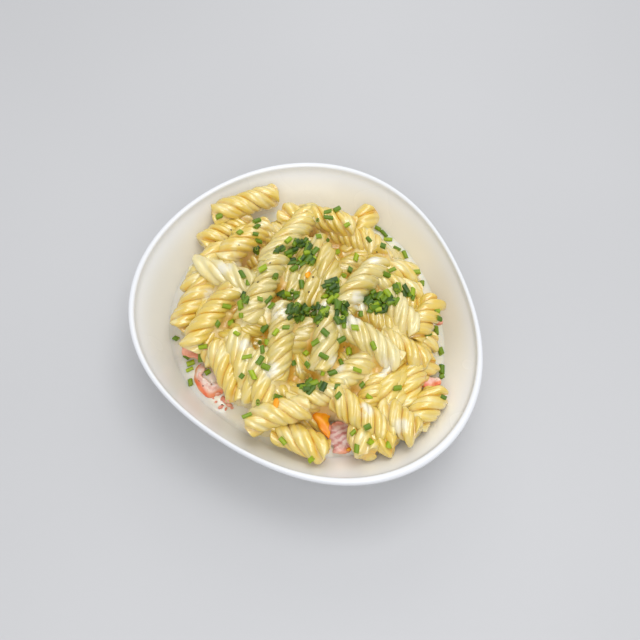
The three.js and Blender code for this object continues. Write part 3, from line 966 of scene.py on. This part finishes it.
def film_heights(pasta, radius, grid_y):
    """Heights of the sauce between the spirals, without the pool."""
    film = roll(roll(pasta, BALL, True), BALL + INSET, False)
    lowered = roll(film, EDGE_INSET, False)
    share = fade(radius, EDGE_FADE)
    film = film * (1 - share) + lowered * share
    film = np.minimum(film, np.interp(radius, *FILM_TOP))
    behind = fade(grid_y, BACK_FADE) * fade(radius, SIDE_FADE)
    film = film + (run_down(film, FILLET_STEPS, FILLET_SLOPE * GRID) - film) * behind
    return np.maximum(film, np.interp(radius, *FILM_BOTTOM))


def make_between(tree):
    """Sauce and pressed pasta that fill the gaps between the spirals."""
    line = np.arange(-HEAP_REACH, HEAP_REACH, GRID)
    pasta = heights_of(tree, line, CORE_BASE_Z)
    grid = np.meshgrid(line, line, indexing="ij")
    grid_x, grid_y = grid
    radius = level_radius(grid_x, grid_y)
    film = film_heights(pasta, radius, grid_y)
    floor = np.maximum(CORE_BASE_Z, wall_height(radius) + BOWL_CLEAR)
    top = np.where(radius < POOL_SAFE_R, np.maximum(film, SAUCE_Z - UNDER_POOL), film)
    inside = (top > floor + FILM_LEAST) & (radius < FILM_REACH_R)
    top = np.maximum(top, floor + FILM_THIN)
    kept = inside[:-1, :-1] & inside[1:, :-1] & inside[1:, 1:] & inside[:-1, 1:]
    crest = roll(pasta, CREST_BALL, True) - CREST_BALL
    away = (grid_x - CREAM_MIDDLE[0]) ** 2 + (grid_y - CREAM_MIDDLE[1]) ** 2
    middle = np.clip(1 - away / CREAM_REACH ** 2, 0, 1)
    # depth sets the painted shade of the gaps.
    layers = {"depth": crest - top, "cream": CREAM_LEAST + (1 - CREAM_LEAST) * middle}
    piece = shell_between("sauce_between", grid, top, floor, kept, between_look(), layers)
    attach(piece, "root")
    return piece


def make_sauce():
    """The cream sauce: a thin edge up the wall, and low mounds where ham lies."""
    wall = bezier(INNER_WALL, 60)[::-1]
    below = [p + (POOL_IN_WALL, 0) for p in wall if p[1] < SAUCE_Z + EDGE_RISE]
    edge = below[-1][0]
    rise = [(edge - d, SAUCE_Z + EDGE_RISE * math.exp(-d / EDGE_REACH)) for d in EDGE_STEPS]
    level = [(r, SAUCE_Z) for r in np.linspace(edge - LEVEL_INSET, POOL_MIDDLE_R, POOL_RINGS)]
    piece = oval_lathe("cream_pool", [POOL_FLOOR] + below + rise + level, POOL_SIDES, pool_look())
    pink, at_wall = [], []
    for v in piece.data.vertices:
        x, y = v.co.x / MM, v.co.y / MM
        inward = edge - float(level_radius(x, y))
        clear = float(fade(inward, POOL_CALM))
        shares = [math.exp(-((x - mx) / wide) ** 2 - ((y - my) / deep) ** 2)
                  for (mx, my), (wide, deep), _ in MOUNDS]
        if v.co.z > (SAUCE_Z - POOL_SKIN) * MM:
            for share, (_, _, height) in zip(shares, MOUNDS):
                v.co.z += height * share * clear * MM
            v.co.z += RIPPLE * noise(v.co * RIPPLE_RATE) * clear * MM
        pink.append(max(shares))
        at_wall.append(math.exp(-max(0, inward) / POOL_BLEND))
    for key, values in (("pink", pink), ("at_wall", at_wall)):
        piece.data.attributes.new(key, "FLOAT", "POINT").data.foreach_set("value", values)
    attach(piece, "root")
    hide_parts("sauce")
    return piece


def smooth_line(line, at):
    """Points along a slice's middle line, with its corners rounded off."""
    line = np.array(line, float)
    points = np.stack([np.interp(at, np.arange(len(line)), line[:, k]) for k in range(3)], axis=1)
    for _ in range(STRIP_SMOOTH):
        points[1:-1] = (points[:-2] + points[1:-1] * 2 + points[2:]) / 4
    return points


def slice_colours(share, wide, width, red_edge):
    """How red and how striped each place is, by its share of the length and where it is across."""
    shape = (len(share), len(wide))
    if red_edge:
        rim = np.clip(0.5 + wide[None, :] * red_edge / width * RED_SPREAD, 0, 1)
        return np.broadcast_to(rim, shape), np.zeros(shape)
    rim = np.clip(np.maximum(RED_MOST - share * RED_FALL, (share - RED_END) * RED_FALL), 0, RED_MOST)
    rim = np.broadcast_to(rim, shape)
    return rim, 1 - rim


def strip(name, row, material, seed):
    """A wavy slice along a line, with a rounded rim, from its row above."""
    line, width, thick, lean, narrow, red_edge = row
    rng = np.random.default_rng(seed)
    at = np.linspace(0, len(line) - 1, STRIP_STEPS)
    points = smooth_line(line, at)
    along = unit(np.gradient(points, axis=0))
    flat = unit(np.cross(along, [0, 0, 1.0]))
    tilt = math.radians(lean)
    across = flat * math.cos(tilt) + np.cross(flat, along) * math.sin(tilt)
    normal = np.cross(across, along)
    turns = np.arange(STRIP_SIDES) * 2 * math.pi / STRIP_SIDES
    wide = np.sign(np.cos(turns)) * np.abs(np.cos(turns)) ** WIDE_POWER * width / 2
    high = np.sign(np.sin(turns)) * np.abs(np.sin(turns)) ** THICK_POWER * thick / 2
    share = (at / at[-1])[:, None]
    end = np.minimum(at, len(line) - 1 - at)
    close = np.sqrt(np.clip(end / STRIP_END, END_LEAST, 1))[:, None] * (1 - narrow * share ** 2)
    wave = rng.uniform(0, WAVE_PHASE, 3)
    ragged = 1 + 0.10 * np.sin(at * 5.0 + wave[0])[:, None] + 0.07 * np.sin(at * 11.0 + wave[1])[:, None]
    sway = STRIP_SWAY * np.sin(at[:, None] * 4 + wide[None, :] * 0.6 + wave[2])
    verts = points[:, None, :] + spread(across, wide[None, :] * close * ragged)
    verts = verts + spread(normal, high[None, :] * close ** 0.5 + sway)
    verts = verts.reshape(-1, 3)
    verts = np.vstack([verts, verts[:STRIP_SIDES].mean(0), verts[-STRIP_SIDES:].mean(0)])
    faces = ring_faces(STRIP_STEPS, STRIP_SIDES) + end_fans(STRIP_STEPS, STRIP_SIDES)
    rim, stripes = slice_colours(share, wide, width, red_edge)
    step = np.linalg.norm(np.diff(points, axis=0), axis=1)
    run = np.repeat(np.concatenate([[0], np.cumsum(step)]), STRIP_SIDES)
    layers = {
        "rim": np.concatenate([rim.reshape(-1), [0.8, 0.8]]),
        "run": np.concatenate([run, [0, run[-1]]]),
        "stripes": np.concatenate([stripes.reshape(-1), [0, 0]]),
    }
    piece = add_mesh(name, verts, faces, material, layers)
    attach(piece, "root")
    return piece


def make_slices():
    ham = ham_look()
    pieces = []
    for number, (node, row) in enumerate(HAM_SLICES.items()):
        piece = strip(node + "_slice", row, ham, HAM_SEED + number)
        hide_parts(node)
        pieces.append(piece)
    carrot = strip("carrot_petal", CARROT_SLICE, carrot_look(), CARROT_SEED)
    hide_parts("carrot_front")
    return pieces + [carrot]


def camera_ray(px, py):
    """The line of sight through a place in the view: its start and direction."""
    upward = Vector((0, math.sin(VIEW_RISE), math.cos(VIEW_RISE)))
    focal = VIEW_PIXELS / 2 / math.tan(math.radians(VIEW_DEGREES) / 2)
    toward = -VIEW_BACK + Vector((1, 0, 0)) * ((px - VIEW_PIXELS / 2) / focal)
    toward += upward * ((VIEW_PIXELS / 2 - py) / focal)
    return VIEW_PLACE, toward.normalized()


class Chives:
    """Short hollow green tubes, laid one by one on what is under them."""

    def __init__(self, tree):
        self.tree = tree
        self.rng = random.Random(CHIVE_SEED)
        self.verts, self.faces, self.inside, self.tone = [], [], [], []
        self.laid = []

    def tube(self, centre, along, normal, radius, length, flat, tone):
        """Adds one tube: outer and inner wall and two cut ends."""
        side = along.cross(normal).normalized()
        normal = side.cross(along).normalized()
        first = len(self.verts)
        slant = self.rng.uniform(-CHIVE_SLANT, CHIVE_SLANT)
        n = CHIVE_SIDES
        for wall in (1.0, CHIVE_BORE):
            for end in (-0.5, 0.5):
                for k in range(n):
                    turn = 2 * math.pi * k / n
                    a = math.cos(turn) * radius * wall
                    b = math.sin(turn) * radius * wall * flat
                    shift = end * length + slant * a
                    self.verts.append(centre + side * a + normal * b + along * shift)
        self.inside += [0.0] * 2 * n + [1.0] * 2 * n
        self.tone += [tone] * 4 * n
        for k in range(n):
            k2 = (k + 1) % n
            for ring in ((k, n + k, n + k2, k2), (2 * n + k2, 3 * n + k2, 3 * n + k, 2 * n + k),
                         (k2, 2 * n + k2, 2 * n + k, k), (n + k, 3 * n + k, 3 * n + k2, n + k2)):
                self.faces.append([first + i for i in ring])

    def lay(self, start, toward, heading, stand, tone):
        """Lays one tube where a line meets the food, or on the tubes already there."""
        place, normal, _, _ = self.tree.ray_cast(start, toward)
        if place is None:
            return
        rng = self.rng
        if normal.dot(toward) > 0:
            normal = -normal
        normal = (normal + Vector((0, 0, CHIVE_UPWARD))).normalized()
        radius = rng.uniform(*CHIVE_RADII) * MM
        length = rng.uniform(*CHIVE_LENGTHS) * MM
        flat = rng.uniform(*CHIVE_FLAT)
        centre = place + normal * radius * flat * CHIVE_SINK
        gaps = [(c - centre).length for c in self.laid]
        lift = CHIVE_CLEAR * MM - min(gaps, default=1)
        if lift > 0:
            centre = centre + Vector((0, 0, 1)) * min(lift, CHIVE_STACK * MM)
        centre.z = min(centre.z, CHIVE_TOP_Z * MM)
        self.laid.append(centre)
        along = Vector((math.cos(heading), math.sin(heading), rng.uniform(-CHIVE_TIP, CHIVE_TIP)))
        along = (along - normal * along.dot(normal)).normalized()
        if stand:
            along = (normal + along * STAND_LEAN).normalized()
            normal = Vector((1, 0, 0))
            length = length * STAND_SHORT
        self.tube(centre, along, normal, radius, length, flat, tone)

    def scatter(self):
        rng = self.rng
        for px, py, heading in CHIVE_BITS:
            start, toward = camera_ray(px, py)
            turn = math.radians(heading) + rng.uniform(-SINGLE_SWAY, SINGLE_SWAY)
            self.lay(start, toward, turn, heading == STANDING, rng.uniform(*SINGLE_TONES))
        for px, py, wide, high, count, heading in CHIVE_CLUSTERS:
            for _ in range(count):
                reach = math.sqrt(rng.random())
                turn = rng.uniform(0, 2 * math.pi)
                x, y = px + wide * reach * math.cos(turn), py + high * reach * math.sin(turn)
                start, toward = camera_ray(x, y)
                lie = math.radians(heading) + rng.uniform(-CLUSTER_SWAY, CLUSTER_SWAY)
                stand = rng.random() < STAND_SHARE
                tone = rng.uniform(0.0, 1.0) ** CLUSTER_DARK * CLUSTER_TONE
                self.lay(start, toward, lie, stand, tone)

    def make_piece(self):
        verts = np.array([list(v) for v in self.verts]) / MM
        layers = {"inside": self.inside, "tone": self.tone}
        piece = add_mesh("chopped_chives", verts, self.faces, chive_look(), layers, CHIVE_EDGE)
        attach(piece, "root")


def bit_points(place, along, side, normal, long, wide, wave):
    """Points of one uneven lump, ring by ring along it, in millimetres."""
    points = []
    for ring in range(BIT_RINGS):
        slope = math.pi * (ring + 0.5) / BIT_RINGS
        for k in range(BIT_SIDES):
            turn = 2 * math.pi * k / BIT_SIDES
            lump = 1 + 0.22 * math.sin(2 * turn + wave[0] + slope) + 0.14 * math.sin(3 * turn + wave[1])
            a = math.cos(slope) * long / 2 * (1 + 0.12 * math.sin(3 * turn + wave[2]))
            b = math.sin(slope) * math.cos(turn) * wide / 2 * lump
            c = math.sin(slope) * math.sin(turn) * wide / 2 / BIT_FLAT * lump
            points.append(np.array(place / MM + along * a + side * b + normal * c))
    return points


def scatter_bits(name, tree, places, material, seed):
    """Small uneven lumps, half sunk in what is under them."""
    rng = np.random.default_rng(seed)
    verts, faces = [], []
    for px, py, long, wide, heading in places:
        start, toward = camera_ray(px, py)
        place, normal, _, _ = tree.ray_cast(start, toward)
        if place is None:
            continue
        along = Vector((math.cos(math.radians(heading)), math.sin(math.radians(heading)), 0))
        normal = (normal + Vector((0, 0, BIT_UPWARD))).normalized()
        along = (along - normal * along.dot(normal)).normalized()
        first = len(verts)
        wave = rng.uniform(0, WAVE_PHASE, 4)
        verts += bit_points(place, along, normal.cross(along), normal, long, wide, wave)
        faces += ring_faces(BIT_RINGS, BIT_SIDES, first)
        faces.append(tuple(first + k for k in reversed(range(BIT_SIDES))))
        faces.append(tuple(len(verts) - BIT_SIDES + k for k in range(BIT_SIDES)))
    piece = add_mesh(name, verts, faces, material, {"rim": np.full(len(verts), BIT_RIM)})
    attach(piece, "root")
    return piece


def make_stage():
    corners = [(x * FLOOR_HALF, y * FLOOR_HALF, 0) for x, y in ((-1, -1), (1, -1), (1, 1), (-1, 1))]
    add_mesh("floor", corners, [(0, 1, 2, 3)], floor_look())
    world = bpy.data.worlds.new("studio")
    world.use_nodes = True
    background = world.node_tree.nodes["Background"]
    background.inputs["Color"].default_value = (1.0, 1.0, 1.0, 1)
    background.inputs["Strength"].default_value = WORLD_LIGHT
    bpy.context.scene.world = world
    bpy.context.scene.view_settings.view_transform = "Standard"
    for lamp in LAMPS:
        add_light(*lamp)


def set_up(data, place, way):
    """A lamp or camera at a place, facing a way."""
    holder = bpy.data.objects.new(data.name, data)
    bpy.context.collection.objects.link(holder)
    holder.location = place
    holder.rotation_euler = way.to_track_quat("-Z", "Y").to_euler()
    return holder


def add_light(name, place, size, power):
    light = bpy.data.lights.new(name, "AREA")
    light.energy = power
    light.size = size
    set_up(light, place, AIM - Vector(place))


def make_camera():
    data = bpy.data.cameras.new("view")
    data.sensor_width = SENSOR_WIDTH
    data.angle = math.radians(VIEW_DEGREES)
    bpy.context.scene.camera = set_up(data, VIEW_PLACE, -VIEW_BACK)


make_camera()
make_stage()
make_bowl()
pool = make_sauce()
upper, lower = make_pasta()
between = make_between(tree_of(upper, lower))
slices = make_slices()
food = tree_of(upper, lower, between, pool, *slices)
chives = Chives(food)
chives.scatter()
chives.make_piece()
scatter_bits("carrot_bits", food, CARROT_BITS, carrot_look(), CARROT_BIT_SEED)
scatter_bits("ham_bits", food, HAM_BITS, ham_look(), HAM_BIT_SEED)
scatter_bits("pepper_flecks", food, PEPPER_FLECKS, fleck_look(), PEPPER_SEED)
